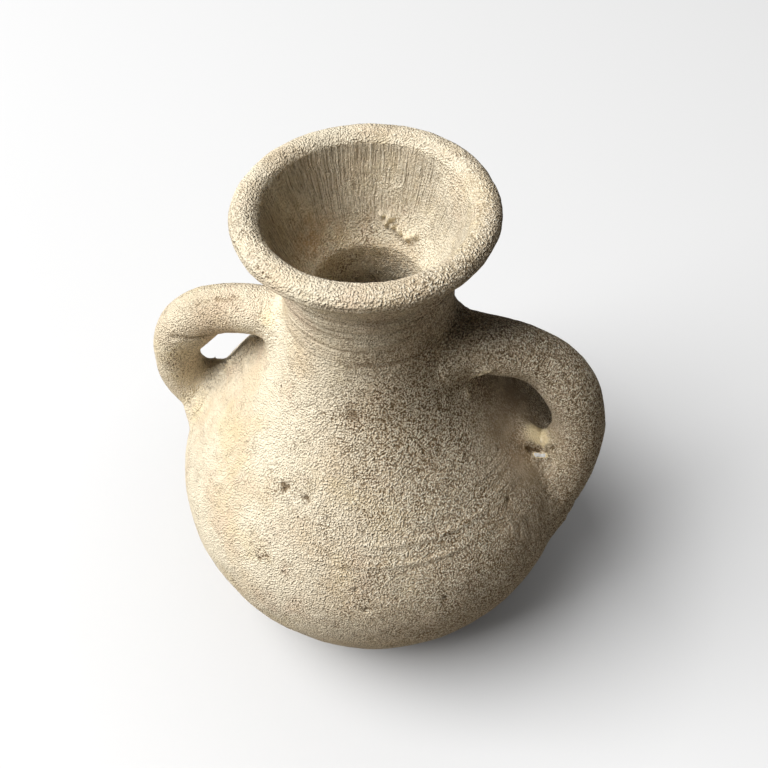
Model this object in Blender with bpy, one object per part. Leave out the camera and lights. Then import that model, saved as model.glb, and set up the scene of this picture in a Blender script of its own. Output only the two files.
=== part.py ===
"""Miniature two-handled clay vase, built from the clay pieces that its potter luted together.

Six rings are stacked from the floor to the rim, each keyed to the next by a ridge in a groove.
Two rolled handles bridge neck and shoulder, and a wad of luting clay is pressed round each root.
The origin is the centre of the base, +Z runs up the axis and the handles lie along X.
"""

import math

import bmesh
import bpy
from mathutils import Vector

# Overall form, in metres
HEIGHT = 0.1000
BASE_RADIUS = 0.0240
BELLY_RADIUS = 0.0400
BELLY_HEIGHT = 0.0300
WAIST_RADIUS = 0.0151
WAIST_DROP = 0.0200
RIM_RADIUS = 0.0220
WALL = 0.0046
NECK_WALL = 0.0058
FLOOR = 0.0060

# Curve of the outside, as shares of the stretch that each pull bends
BASE_ANGLE = math.radians(33)
BASE_PULL = 0.34
LOWER_BELLY_PULL = 0.37
UPPER_BELLY_PULL = 0.40
SHOULDER_PULL = 0.48
NECK_PULL = 0.65
FLARE_PULL = 0.30

# Rim roll, and the funnel that leads down from it to the throat
ROLL_WIDTH = 0.0054
ROLL_DEPTH = 0.0045
ROLL_UNDERSIDE = math.radians(-65)
ROLL_INNER_EDGE = math.radians(165)
COLLAR_TOP_WALL = 0.0030
THROAT_LEDGE = 0.0004
FUNNEL_BOWL = 0.70

# Lengths of the pieces between the luted seams, and the ridge and groove that key them
LIP_HEIGHT = 0.0055
COLLAR_HEIGHT = 0.0125
SHOULDER_HEIGHT = 0.0320
SEAM_KEY = 0.0007
SLIP_GAP = 0.0003

# Rolled handles, made by hand and so unlike: how far each stands out past the belly, where its
# middle line bends and roots, and its oval section
HANDLE_APEX_HEIGHT = 0.0510
HANDLE_STAND_OUT = {"left": 0.0052, "right": 0.0048}
HANDLE_RISE = {"left": 0.0182, "right": 0.0190}
HANDLE_DROP = {"left": 0.0120, "right": 0.0340}
HANDLE_THICKNESS = {"left": 0.0092, "right": 0.0102}
HANDLE_WIDTH = {"left": 0.0102, "right": 0.0116}
HANDLE_CREST_RISE = {"left": math.radians(12), "right": math.radians(17)}
HANDLE_CREST_PULL = 0.60
HANDLE_SHOULDER_PULL = {"left": 0.80, "right": 0.92}
HANDLE_DROP_PULL = {"left": 0.55, "right": 0.65}
HANDLE_TUCK_ANGLE = {"left": math.radians(50), "right": math.radians(66)}
HANDLE_TUCK_PULL = 0.40
HANDLE_FOOT_SINK = {"left": 0.50, "right": 0.85}

# Luting wads round the handle roots, which are thinned so that the wads end flush with the handle
WAD_REACH = 0.0050
WAD_SPREAD = 0.0026
WAD_BACK_SPREAD = 0.0010
WAD_LIP = 0.0007
WAD_ANCHOR = 0.0140

# Facets
RING_SEGMENTS = 48
WALL_STEPS = 6
ROLL_STEPS = 10
HANDLE_SIDES = 20
HANDLE_STEPS = 16
TENON_STEPS = 6
WAD_STEPS = 6
ANCHOR_STEPS = 6
LINE_STEPS = 120
MERGE_DISTANCE = 1e-6
CURVE_SEARCH_STEPS = 40

# Heights that follow from the sizes above
RIM_SEAM = HEIGHT - LIP_HEIGHT
THROAT_SEAM = RIM_SEAM - COLLAR_HEIGHT
NECK_SEAM = BELLY_HEIGHT + SHOULDER_HEIGHT
WAIST_HEIGHT = HEIGHT - WAIST_DROP
SEAMS = (FLOOR, BELLY_HEIGHT, NECK_SEAM, THROAT_SEAM, RIM_SEAM)
SIDES = {"left": -1, "right": 1}
CLAY_COLOURS = {
    "body_clay": (0.56, 0.47, 0.35, 1.0),
    "rim_clay": (0.62, 0.53, 0.40, 1.0),
    "handle_clay": (0.50, 0.42, 0.32, 1.0),
    "luting_clay": (0.60, 0.50, 0.37, 1.0),
}
CLAY_ROUGHNESS = 0.92


def bezier(points, t):
    """Point of a cubic curve through its four control points."""
    a, b, c, d = (Vector(p) for p in points)
    s = 1 - t
    return a * s**3 + b * (3 * s * s * t) + c * (3 * s * t * t) + d * t**3


# Outside of the vessel as a chain of curves in (radius, height), base to rim roll
SHOULDER_RISE = WAIST_HEIGHT - BELLY_HEIGHT
FLARE_RISE = RIM_SEAM - WAIST_HEIGHT


def roll_point(angle):
    """Point on the oval section of the rim roll."""
    centre_radius = RIM_RADIUS - ROLL_WIDTH / 2
    centre_height = HEIGHT - ROLL_DEPTH / 2
    return (
        centre_radius + ROLL_WIDTH / 2 * math.cos(angle),
        centre_height + ROLL_DEPTH / 2 * math.sin(angle),
    )


def throat_radius():
    """Bore of the neck, one neck wall inside its waist."""
    return WAIST_RADIUS - NECK_WALL


def funnel_radius(height):
    """Inside of the flared mouth, a shallow bowl from the throat ledge to the rim."""
    foot = throat_radius() + THROAT_LEDGE
    edge_radius, edge_height = roll_point(ROLL_INNER_EDGE)
    share = (height - THROAT_SEAM) / (edge_height - THROAT_SEAM)
    return foot + (edge_radius - foot) * max(share, 0.0) ** FUNNEL_BOWL


def outside_curves():
    """Three curves whose heights rise from the base to the seam under the rim roll."""
    base = (BASE_RADIUS, 0.0)
    belly = (BELLY_RADIUS, BELLY_HEIGHT)
    waist = (WAIST_RADIUS, WAIST_HEIGHT)
    collar_top = (funnel_radius(RIM_SEAM) + COLLAR_TOP_WALL, RIM_SEAM)
    base_pull = BASE_PULL * BELLY_HEIGHT
    lower = (
        base,
        (BASE_RADIUS + base_pull * math.cos(BASE_ANGLE), base_pull * math.sin(BASE_ANGLE)),
        (BELLY_RADIUS, BELLY_HEIGHT - LOWER_BELLY_PULL * BELLY_HEIGHT),
        belly,
    )
    shoulder = (
        belly,
        (BELLY_RADIUS, BELLY_HEIGHT + UPPER_BELLY_PULL * SHOULDER_RISE),
        (WAIST_RADIUS, WAIST_HEIGHT - SHOULDER_PULL * SHOULDER_RISE),
        waist,
    )
    flare_reach = FLARE_PULL * FLARE_RISE
    flare = (
        waist,
        (WAIST_RADIUS, WAIST_HEIGHT + NECK_PULL * FLARE_RISE),
        (collar_top[0] - flare_reach / 2, collar_top[1] - flare_reach),
        collar_top,
    )
    return lower, shoulder, flare


OUTSIDE = outside_curves()


def outer_radius(height):
    """Radius of the outside at one height, found on the curve that spans it."""
    curve = next((c for c in OUTSIDE if height <= c[3][1]), OUTSIDE[-1])
    low, high = 0.0, 1.0
    for _ in range(CURVE_SEARCH_STEPS):
        middle = (low + high) / 2
        if bezier(curve, middle).y < height:
            low = middle
        else:
            high = middle
    return bezier(curve, (low + high) / 2).x


def wall_thickness(height):
    """Thickness of the wall, which gains clay up the neck to the throat."""
    share = (height - NECK_SEAM) / (THROAT_SEAM - NECK_SEAM)
    return WALL + (NECK_WALL - WALL) * min(max(share, 0.0), 1.0)


def inner_radius(height):
    """Radius of the inside of the pot, one wall in from the outside along its normal."""
    step = WALL / 20
    slope = (outer_radius(height + step) - outer_radius(max(height - step, 0.0))) / (2 * step)
    return max(outer_radius(height) - wall_thickness(height) * math.hypot(1.0, slope), throat_radius())


def heights_between(low, high):
    """Evenly spaced heights from low to high."""
    return [low + (high - low) * i / WALL_STEPS for i in range(WALL_STEPS + 1)]


def ring_levels(low, high):
    """Heights of the sections of one ring, half a slip gap short of the seams below and above it."""
    return heights_between(low + SLIP_GAP / 2, high - SLIP_GAP / 2)


def keyed_edge(inner, outer, height):
    """Edge of a ring from inside to outside, with the key's point half way through the wall."""
    return [
        (inner, height),
        ((inner + outer) / 2, height - SEAM_KEY),
        (outer, height),
    ]


def clay_material(name):
    """Dull fired clay in one of the vase's tones."""
    material = bpy.data.materials.get(name) or bpy.data.materials.new(name)
    material.use_nodes = True
    shader = material.node_tree.nodes["Principled BSDF"]
    shader.inputs["Base Color"].default_value = CLAY_COLOURS[name]
    shader.inputs["Roughness"].default_value = CLAY_ROUGHNESS
    shader.inputs["Metallic"].default_value = 0.0
    return material


def finished_object(name, shape, clay):
    """New object from a closed shape, smooth shaded and in its clay."""
    bmesh.ops.remove_doubles(shape, verts=shape.verts, dist=MERGE_DISTANCE)
    bmesh.ops.recalc_face_normals(shape, faces=shape.faces)
    mesh = bpy.data.meshes.new(name)
    shape.to_mesh(mesh)
    shape.free()
    mesh.shade_smooth()
    mesh.set_sharp_from_angle(angle=math.radians(40))
    thing = bpy.data.objects.new(name, mesh)
    bpy.context.scene.collection.objects.link(thing)
    if clay:
        mesh.materials.append(clay_material(clay))
    return thing


def turned(name, profile, clay=None):
    """Solid turned from a closed profile of (radius, height) points, or one that ends on the axis."""
    shape = bmesh.new()
    points = [shape.verts.new((radius, 0.0, height)) for radius, height in profile]
    edges = [shape.edges.new(pair) for pair in zip(points, points[1:])]
    if profile[0][0] > 0:
        edges.append(shape.edges.new((points[-1], points[0])))
    bmesh.ops.spin(
        shape,
        geom=points + edges,
        cent=(0, 0, 0),
        axis=(0, 0, 1),
        angle=math.tau,
        steps=RING_SEGMENTS,
        use_merge=True,
    )
    return finished_object(name, shape, clay)


def make_base_disc():
    """Pad of clay that closes the bottom, flat underneath and dished up to the first wall."""
    top = FLOOR - SLIP_GAP / 2
    edge = [(outer_radius(z), z) for z in heights_between(0.0, top)]
    seat = keyed_edge(inner_radius(FLOOR), edge[-1][0], top)
    profile = [(0.0, 0.0)] + edge[:-1] + seat[::-1] + [(0.0, top)]
    return turned("base_disc", profile, "body_clay")


def make_wall_ring(name, low, high, inside, clay):
    """Ring of wall between two seams, keyed at both edges."""
    levels = ring_levels(low, high)
    outer = [(outer_radius(z), z) for z in levels]
    inner = [(inside(z), z) for z in levels]
    bottom = keyed_edge(inner[0][0], outer[0][0], levels[0])
    top = keyed_edge(inner[-1][0], outer[-1][0], levels[-1])
    profile = bottom[:-1] + outer[:-1] + top[::-1] + inner[-2:0:-1]
    return turned(name, profile, clay)


def make_rim_roll():
    """Thick rounded lip that overhangs the collar and ends the funnel."""
    low = RIM_SEAM + SLIP_GAP / 2
    sweep = ROLL_INNER_EDGE - ROLL_UNDERSIDE
    roll = [roll_point(ROLL_UNDERSIDE + sweep * i / ROLL_STEPS) for i in range(ROLL_STEPS + 1)]
    seat = keyed_edge(funnel_radius(low), outer_radius(RIM_SEAM), low)
    throat_side = heights_between(low, roll[-1][1])[-2:0:-1]
    profile = seat + roll + [(funnel_radius(z), z) for z in throat_side]
    return turned("rim_roll", profile, "rim_clay")


def make_outside_envelope():
    """Helper: the whole outside grown by the slip gap, which trims what sits on the wall."""
    levels = heights_between(0.0, FLOOR - SLIP_GAP / 2)
    for low, high in zip(SEAMS, SEAMS[1:]):
        levels += ring_levels(low, high)
    grown = [(outer_radius(z) + SLIP_GAP, z) for z in levels]
    profile = [(0.0, 0.0)] + grown + [(0.0, levels[-1])]
    return as_cutter(turned("outside_envelope", profile))


def as_cutter(thing):
    """Marks a helper that only trims other pieces."""
    thing.hide_render = True
    thing.display_type = "WIRE"
    return thing


def trimmed(thing, *cutters):
    """Cuts helpers out of a piece, so that it seats on them with the slip gap."""
    for cutter in cutters:
        cut = thing.modifiers.new("trim_" + cutter.name, "BOOLEAN")
        cut.operation = "DIFFERENCE"
        cut.object = cutter
    return thing


def handle_curves(side):
    """Middle line of a handle in (x, z): out from the neck to its apex, then down into the shoulder."""
    rise, drop, half = HANDLE_RISE[side], HANDLE_DROP[side], HANDLE_THICKNESS[side] / 2
    top, low = HANDLE_APEX_HEIGHT + rise, HANDLE_APEX_HEIGHT - drop
    root = Vector((outer_radius(top) - half, top))
    apex = Vector((BELLY_RADIUS + HANDLE_STAND_OUT[side] - half, HANDLE_APEX_HEIGHT))
    foot = Vector((outer_radius(low) - HANDLE_FOOT_SINK[side] * HANDLE_THICKNESS[side], low))
    crest_rise, tuck_angle = HANDLE_CREST_RISE[side], HANDLE_TUCK_ANGLE[side]
    crest = Vector((math.cos(crest_rise), math.sin(crest_rise)))
    tuck = Vector((math.cos(tuck_angle), math.sin(tuck_angle)))
    arch = (
        root,
        root + crest * ((apex.x - root.x) * HANDLE_CREST_PULL),
        apex + Vector((0, rise * HANDLE_SHOULDER_PULL[side])),
        apex,
    )
    fall = (
        apex,
        apex - Vector((0, drop * HANDLE_DROP_PULL[side])),
        foot + tuck * (drop * HANDLE_TUCK_PULL),
        foot,
    )
    return arch, fall


def handle_line(side):
    """Points along a handle's middle line, from the neck to the shoulder."""
    arch, fall = handle_curves(side)
    half = LINE_STEPS // 2
    points = [bezier(arch, i / half) for i in range(half)]
    return points + [bezier(fall, i / half) for i in range(half + 1)]


def line_length(points):
    """Length of a line."""
    return sum((b - a).length for a, b in zip(points, points[1:]))


def swept(name, side, line, growths, clay=None):
    """Closed oval bar along a line in the handles' plane.

    Each section is grown by one amount on the side below its line and another on the side above it.
    """
    shape = bmesh.new()
    rings = []
    for (point, direction), (below, above) in zip(line, growths):
        across = Vector((direction.y, -direction.x))
        ring = []
        for i in range(HANDLE_SIDES):
            angle = math.tau * i / HANDLE_SIDES
            growth = above + (below - above) * (1 + math.cos(angle)) / 2
            flat = point + across * ((HANDLE_THICKNESS[side] / 2 + growth) * math.cos(angle))
            depth = (HANDLE_WIDTH[side] / 2 + growth) * math.sin(angle)
            ring.append(shape.verts.new((SIDES[side] * flat.x, depth, flat.y)))
        rings.append(ring)
    for first, second in zip(rings, rings[1:]):
        for i in range(HANDLE_SIDES):
            j = (i + 1) % HANDLE_SIDES
            shape.faces.new((first[i], first[j], second[j], second[i]))
    shape.faces.new(rings[0])
    shape.faces.new(rings[-1])
    return finished_object(name, shape, clay)


def wall_crossing(points):
    """Length along a line, from its first point, at which it leaves the outside of the wall."""
    travelled = 0.0
    for a, b in zip(points, points[1:]):
        inside, outside = (p.x - outer_radius(p.y) for p in (a, b))
        if inside < 0 <= outside:
            return travelled + (b - a).length * inside / (inside - outside)
        travelled += (b - a).length
    return 0.0


def clear_length(points, side):
    """Length along a line, from its first point, at which both sides of the bar have left the wall."""
    travelled = 0.0
    for a, b in zip(points, points[1:]):
        travelled += (b - a).length
        direction = (b - a).normalized()
        across = Vector((direction.y, -direction.x)) * (HANDLE_THICKNESS[side] / 2)
        if all(edge.x > outer_radius(edge.y) for edge in (b - across, b + across)):
            return travelled
    return travelled


def place_along(points, length):
    """Point and direction at a length along a line, carried straight on past its ends."""
    for a, b in zip(points, points[1:]):
        step = (b - a).length
        if length <= step or b is points[-1]:
            return a + (b - a) * (length / step), (b - a).normalized()
        length -= step


def stations(points, start, stop, steps):
    """Evenly spaced places along a stretch of a line."""
    return [place_along(points, start + (stop - start) * i / steps) for i in range(steps + 1)]


def make_handle(side, envelope):
    """Rolled handle with a thinner tenon under each wad, its two ends coped to the wall."""
    points = handle_line(side)
    length = line_length(points)
    upper = clear_length(points, side) + WAD_REACH + SLIP_GAP
    lower = length - clear_length(points[::-1], side) - WAD_REACH - SLIP_GAP
    tenon = -(WAD_LIP + SLIP_GAP)
    line, growths = [], []
    for start, stop, steps, growth in (
        (0.0, upper, TENON_STEPS, tenon),
        (upper, lower, HANDLE_STEPS, 0.0),
        (lower, length, TENON_STEPS, tenon),
    ):
        line += stations(points, start, stop, steps)
        growths += [(growth, growth)] * (steps + 1)
    return trimmed(swept(f"handle_{side}", side, line, growths, "handle_clay"), envelope)


def make_tenon_envelope(side):
    """Helper: a bar one slip gap thicker than the tenons, which bores the wads that surround them."""
    points = handle_line(side)
    line = stations(points, 0.0, line_length(points), HANDLE_STEPS + 2 * TENON_STEPS)
    return as_cutter(swept(f"tenon_{side}_envelope", side, line, [(-WAD_LIP, -WAD_LIP)] * len(line)))


def make_wad(name, side, points, spreads, envelope, tenon_envelope):
    """Luting clay round one root: a smooth flare from the handle to the wall, bored for the tenon."""
    wall = wall_crossing(points)
    anchor = stations(points, min(wall - WAD_ANCHOR, 0.0), wall, ANCHOR_STEPS)
    flare = stations(points, wall, clear_length(points, side) + WAD_REACH, WAD_STEPS)
    shares = [i / WAD_STEPS for i in range(WAD_STEPS + 1)]
    growths = [spreads] * ANCHOR_STEPS
    growths += [[spread * (1 - share) ** 2 * (1 + 2 * share) for spread in spreads] for share in shares]
    wad = swept(name, side, anchor[:-1] + flare, growths, "luting_clay")
    return trimmed(wad, envelope, tenon_envelope)


def make_handles(envelope):
    """Both handles, each with a wad at the neck and a wad at the shoulder."""
    for side in SIDES:
        make_handle(side, envelope)
        tenon_envelope = make_tenon_envelope(side)
        points = handle_line(side)
        crook, back = WAD_SPREAD, WAD_BACK_SPREAD
        make_wad(f"upper_wad_{side}", side, points, (crook, back), envelope, tenon_envelope)
        make_wad(f"lower_wad_{side}", side, points[::-1], (back, crook), envelope, tenon_envelope)


def main():
    for thing in list(bpy.data.objects):
        bpy.data.objects.remove(thing)
    make_base_disc()
    make_wall_ring("lower_bowl", FLOOR, BELLY_HEIGHT, inner_radius, "body_clay")
    make_wall_ring("shoulder", BELLY_HEIGHT, NECK_SEAM, inner_radius, "body_clay")
    make_wall_ring("neck", NECK_SEAM, THROAT_SEAM, inner_radius, "body_clay")
    make_wall_ring("mouth_collar", THROAT_SEAM, RIM_SEAM, funnel_radius, "rim_clay")
    make_rim_roll()
    make_handles(make_outside_envelope())


main()
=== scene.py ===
"""Looks of the miniature two-handled vase: sandy, hand-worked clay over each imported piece.

Every ring of the pot is turned from its profile by a Geometry Nodes tree, and each handle is rolled
along its middle line by another. The clay at the handle roots is then drawn up into fillets, and a
third tree gives every piece the same sandy skin, so that the pieces meet as one fired surface.
"""

import functools
import math

import bmesh
import bpy
import numpy as np
from mathutils import Matrix, Vector, noise
from mathutils.kdtree import KDTree


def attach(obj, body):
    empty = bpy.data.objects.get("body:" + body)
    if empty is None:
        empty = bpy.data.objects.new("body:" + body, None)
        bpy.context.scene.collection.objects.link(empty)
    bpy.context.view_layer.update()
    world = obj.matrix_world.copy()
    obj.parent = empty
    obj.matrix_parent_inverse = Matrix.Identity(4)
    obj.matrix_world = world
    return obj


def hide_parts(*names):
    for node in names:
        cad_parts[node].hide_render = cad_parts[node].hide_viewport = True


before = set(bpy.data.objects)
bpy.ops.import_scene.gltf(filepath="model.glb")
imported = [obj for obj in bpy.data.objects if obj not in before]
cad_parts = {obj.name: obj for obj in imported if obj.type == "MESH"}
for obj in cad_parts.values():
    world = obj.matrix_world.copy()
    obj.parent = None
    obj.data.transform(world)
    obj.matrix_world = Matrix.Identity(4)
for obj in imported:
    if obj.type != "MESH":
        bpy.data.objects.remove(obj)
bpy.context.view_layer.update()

# Sizes of the pot, in metres, as its solids have them
HEIGHT = 0.1000
BASE_RADIUS = 0.0240
BELLY_RADIUS = 0.0400
BELLY_HEIGHT = 0.0300
WAIST_RADIUS = 0.0151
WAIST_DROP = 0.0200
RIM_RADIUS = 0.0220
WALL = 0.0046
NECK_WALL = 0.0058
FLOOR = 0.0060
BASE_ANGLE = math.radians(33)
BASE_PULL = 0.34
LOWER_BELLY_PULL = 0.37
UPPER_BELLY_PULL = 0.40
SHOULDER_PULL = 0.48
NECK_PULL = 0.65
FLARE_PULL = 0.30
ROLL_WIDTH = 0.0054
ROLL_DEPTH = 0.0045
ROLL_UNDERSIDE = math.radians(-65)
ROLL_INNER_EDGE = math.radians(165)
COLLAR_TOP_WALL = 0.0030
THROAT_LEDGE = 0.0004
FUNNEL_BOWL = 0.70
LIP_HEIGHT = 0.0055
COLLAR_HEIGHT = 0.0125
SHOULDER_HEIGHT = 0.0320
HANDLE_STAND_OUT = {"left": 0.0052, "right": 0.0048}
HANDLE_APEX_HEIGHT = 0.0510
HANDLE_RISE = {"left": 0.0182, "right": 0.0190}
HANDLE_DROP = {"left": 0.0120, "right": 0.0340}
HANDLE_THICKNESS = {"left": 0.0092, "right": 0.0102}
HANDLE_WIDTH = {"left": 0.0102, "right": 0.0116}
HANDLE_CREST_PULL = 0.60
HANDLE_CREST_RISE = {"left": math.radians(12), "right": math.radians(17)}
HANDLE_SHOULDER_PULL = {"left": 0.80, "right": 0.92}
HANDLE_DROP_PULL = {"left": 0.55, "right": 0.65}
HANDLE_TUCK_ANGLE = {"left": math.radians(50), "right": math.radians(66)}
HANDLE_TUCK_PULL = 0.40
HANDLE_FOOT_SINK = {"left": 0.50, "right": 0.85}

# Places that follow from those sizes, and the way along x to each handle
RIM_SEAM = HEIGHT - LIP_HEIGHT
THROAT_SEAM = RIM_SEAM - COLLAR_HEIGHT
NECK_SEAM = BELLY_HEIGHT + SHOULDER_HEIGHT
WAIST_HEIGHT = HEIGHT - WAIST_DROP
THROAT_RADIUS = WAIST_RADIUS - NECK_WALL
SIDES = {"left": -1, "right": 1}

# Fineness of the meshes
CURVE_SAMPLES = 400
RING_SEGMENTS = 620
BAR_SIDES = 112
LEAST_POINTS = 2
SHOWN_STEP = 0.00036
HIDDEN_STEP = 0.0012
SEAM_STEP = 0.0012

# Clay drawn up at the handle roots
ROOT_FILLET = {"left": 0.0042, "right": 0.0046}
ROOT_FILLET_CAP = 0.46
ROOT_SINK = 0.0012
ROOT_NEARNESS = 2
SMEAR_WAVES = 160.0
SMEAR_UNEVENNESS = 0.45
WAD_REACH = 0.0050
FILLET_SEARCH_STEPS = 14
SLOPE_STEP = 0.0001

# How far the finished skin lies inside the solids, so that its grains stay within their box
SKIN_INSET = 0.00026


def bezier(points, count=CURVE_SAMPLES):
    """Points of a cubic curve, evenly spaced in its parameter."""
    a, b, c, d = (np.array(p, float) for p in points)
    t = np.linspace(0.0, 1.0, count)[:, None]
    s = 1 - t
    return a * s**3 + b * 3 * s * s * t + c * 3 * s * t * t + d * t**3


def roll_point(angle):
    """Point on the oval section of the rim roll."""
    return np.array(
        [
            RIM_RADIUS - ROLL_WIDTH / 2 + ROLL_WIDTH / 2 * math.cos(angle),
            HEIGHT - ROLL_DEPTH / 2 + ROLL_DEPTH / 2 * math.sin(angle),
        ]
    )


def funnel_radius(height):
    """Inside of the flared mouth at a height."""
    foot = THROAT_RADIUS + THROAT_LEDGE
    edge_radius, edge_height = roll_point(ROLL_INNER_EDGE)
    share = np.clip((height - THROAT_SEAM) / (edge_height - THROAT_SEAM), 0.0, 1.0)
    return foot + (edge_radius - foot) * share**FUNNEL_BOWL


def outside_line():
    """Outside of the pot in (radius, height), from the edge of the base to the seam under the lip."""
    base_pull = BASE_PULL * BELLY_HEIGHT
    shoulder_rise = WAIST_HEIGHT - BELLY_HEIGHT
    flare_rise = RIM_SEAM - WAIST_HEIGHT
    flare_reach = FLARE_PULL * flare_rise
    belly = (BELLY_RADIUS, BELLY_HEIGHT)
    waist = (WAIST_RADIUS, WAIST_HEIGHT)
    collar_top = (funnel_radius(RIM_SEAM) + COLLAR_TOP_WALL, RIM_SEAM)
    lower = bezier(
        (
            (BASE_RADIUS, 0.0),
            (BASE_RADIUS + base_pull * math.cos(BASE_ANGLE), base_pull * math.sin(BASE_ANGLE)),
            (BELLY_RADIUS, BELLY_HEIGHT - LOWER_BELLY_PULL * BELLY_HEIGHT),
            belly,
        )
    )
    shoulder = bezier(
        (
            belly,
            (BELLY_RADIUS, BELLY_HEIGHT + UPPER_BELLY_PULL * shoulder_rise),
            (WAIST_RADIUS, WAIST_HEIGHT - SHOULDER_PULL * shoulder_rise),
            waist,
        )
    )
    flare = bezier(
        (
            waist,
            (WAIST_RADIUS, WAIST_HEIGHT + NECK_PULL * flare_rise),
            (collar_top[0] - flare_reach / 2, RIM_SEAM - flare_reach),
            collar_top,
        )
    )
    return np.vstack([lower, shoulder[1:], flare[1:]])


OUTSIDE = outside_line()
OUTSIDE_SLOPE = np.gradient(OUTSIDE[:, 0], OUTSIDE[:, 1])


def outer_radius(height):
    """Radius of the outside at a height."""
    return np.interp(height, OUTSIDE[:, 1], OUTSIDE[:, 0])


def outer_slope(height):
    """How much the outside's radius gains for each metre of height."""
    return np.interp(height, OUTSIDE[:, 1], OUTSIDE_SLOPE)


def inner_radius(height):
    """Radius of the inside of the pot, one wall in, with a thicker wall up the neck to the throat."""
    wall = np.interp(height, [NECK_SEAM, THROAT_SEAM], [WALL, NECK_WALL])
    return np.maximum(outer_radius(height) - wall * np.hypot(1.0, outer_slope(height)), THROAT_RADIUS)


def wall_distance(points):
    """Distance of points outside the wall, negative within it."""
    height = np.clip(points[:, 2], 0.0, RIM_SEAM)
    gap = np.hypot(points[:, 0], points[:, 1]) - outer_radius(height)
    return gap / np.hypot(1.0, outer_slope(height))


def handle_line(side):
    """Middle line of a handle in (x, z), from inside the neck to inside the shoulder."""
    top = HANDLE_APEX_HEIGHT + HANDLE_RISE[side]
    low = HANDLE_APEX_HEIGHT - HANDLE_DROP[side]
    root = np.array([outer_radius(top) - HANDLE_THICKNESS[side] / 2, top])
    apex = np.array([BELLY_RADIUS + HANDLE_STAND_OUT[side] - HANDLE_THICKNESS[side] / 2, HANDLE_APEX_HEIGHT])
    foot = np.array([outer_radius(low) - HANDLE_FOOT_SINK[side] * HANDLE_THICKNESS[side], low])
    crest = np.array([math.cos(HANDLE_CREST_RISE[side]), math.sin(HANDLE_CREST_RISE[side])])
    tuck = np.array([math.cos(HANDLE_TUCK_ANGLE[side]), math.sin(HANDLE_TUCK_ANGLE[side])])
    up = np.array([0.0, 1.0])
    arch = bezier(
        (
            root,
            root + crest * ((apex - root)[0] * HANDLE_CREST_PULL),
            apex + up * (HANDLE_RISE[side] * HANDLE_SHOULDER_PULL[side]),
            apex,
        )
    )
    fall = bezier(
        (
            apex,
            apex - up * (HANDLE_DROP[side] * HANDLE_DROP_PULL[side]),
            foot + tuck * (HANDLE_DROP[side] * HANDLE_TUCK_PULL),
            foot,
        )
    )
    return np.vstack([arch, fall[1:]])


def lengths_along(line):
    """Length along a line at each of its points."""
    return np.concatenate([[0.0], np.cumsum(np.linalg.norm(np.diff(line, axis=0), axis=1))])


def at_lengths(line, lengths):
    """Points and directions of a line at given lengths along it."""
    along = lengths_along(line)
    point = np.stack([np.interp(lengths, along, line[:, i]) for i in (0, 1)], axis=-1)
    slope = np.gradient(line, along, axis=0)
    direction = np.stack([np.interp(lengths, along, slope[:, i]) for i in (0, 1)], axis=-1)
    return point, direction / np.linalg.norm(direction, axis=-1, keepdims=True)


HANDLE_LINES = {side: handle_line(side) for side in SIDES}
LINE_THINNING = 6


def handle_distance(points, side):
    """Distance of points outside a handle's oval bar, negative within it."""
    line = HANDLE_LINES[side][::LINE_THINNING]
    flat = np.stack([SIDES[side] * points[:, 0], points[:, 2]], axis=-1)
    depth = points[:, 1] * (HANDLE_THICKNESS[side] / HANDLE_WIDTH[side])
    start, run = line[:-1], np.diff(line, axis=0)
    offset = flat[:, None, :] - start[None]
    share = np.clip((offset * run).sum(-1) / (run * run).sum(-1), 0.0, 1.0)
    gap = np.linalg.norm(offset - share[..., None] * run, axis=-1).min(axis=1)
    return np.hypot(gap, depth) - HANDLE_THICKNESS[side] / 2


def blended(first, second, reach):
    """Smooth union of two distances, which fills the corner between them over the given reach."""
    overlap = np.clip(reach - np.abs(first - second), 0.0, None)
    return np.minimum(first, second) - overlap**2 / (4 * reach)


def noise_at(points, waves):
    """Smooth noise round zero at points, with the given number of waves to a metre."""
    return np.array([noise.noise(Vector(p) * waves) for p in points])


def smear_reach(points, side):
    """Reach of the root fillets, uneven as thumbed clay is."""
    return ROOT_FILLET[side] * (1.0 + SMEAR_UNEVENNESS * noise_at(points, SMEAR_WAVES))


def root_distance(points, side, reach):
    """Distance outside the wall and a handle joined by the fillets at its roots."""
    return blended(wall_distance(points), handle_distance(points, side), reach)


def root_smear(points, side, reach):
    """How far points lie in the fillet between the wall and a handle, from 0 beside it to 1 in its middle."""
    apart = np.abs(wall_distance(points) - handle_distance(points, side))
    return np.clip(1.0 - apart / reach, 0.0, 1.0)


def draw_up(points, outward, side):
    """Moves points out along their normals onto the root fillets; returns them, the normals and the smear."""
    reach = smear_reach(points, side)
    low, high = np.zeros(len(points)), reach * ROOT_FILLET_CAP
    for _ in range(FILLET_SEARCH_STEPS):
        middle = (low + high) / 2
        inside = root_distance(points + outward * middle[:, None], side, reach) < 0
        low = np.where(inside, middle, low)
        high = np.where(inside, high, middle)
    drawn = points + outward * high[:, None]
    slopes = []
    for axis in np.eye(3) * SLOPE_STEP:
        ahead, behind = (root_distance(drawn + step, side, reach) for step in (axis, -axis))
        slopes.append(ahead - behind)
    normals = np.stack(slopes, axis=-1)
    normals /= np.linalg.norm(normals, axis=-1, keepdims=True)
    return drawn, normals, root_smear(drawn, side, reach)


# Short ways to wire nodes
def pick(sockets, key):
    """The socket in use with a name or a place."""
    if isinstance(key, int):
        return sockets[key]
    return next(s for s in sockets if s.name == key and s.enabled and not s.is_unavailable)


def add(tree, kind, inputs=None, **settings):
    """Adds a node, sets its options, and links or sets its inputs."""
    node = tree.nodes.new(kind)
    for name, value in settings.items():
        setattr(node, name, value)
    for key, value in (inputs or {}).items():
        socket = pick(node.inputs, key)
        if isinstance(value, bpy.types.NodeSocket):
            tree.links.new(value, socket)
        else:
            socket.default_value = value
    return node


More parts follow.
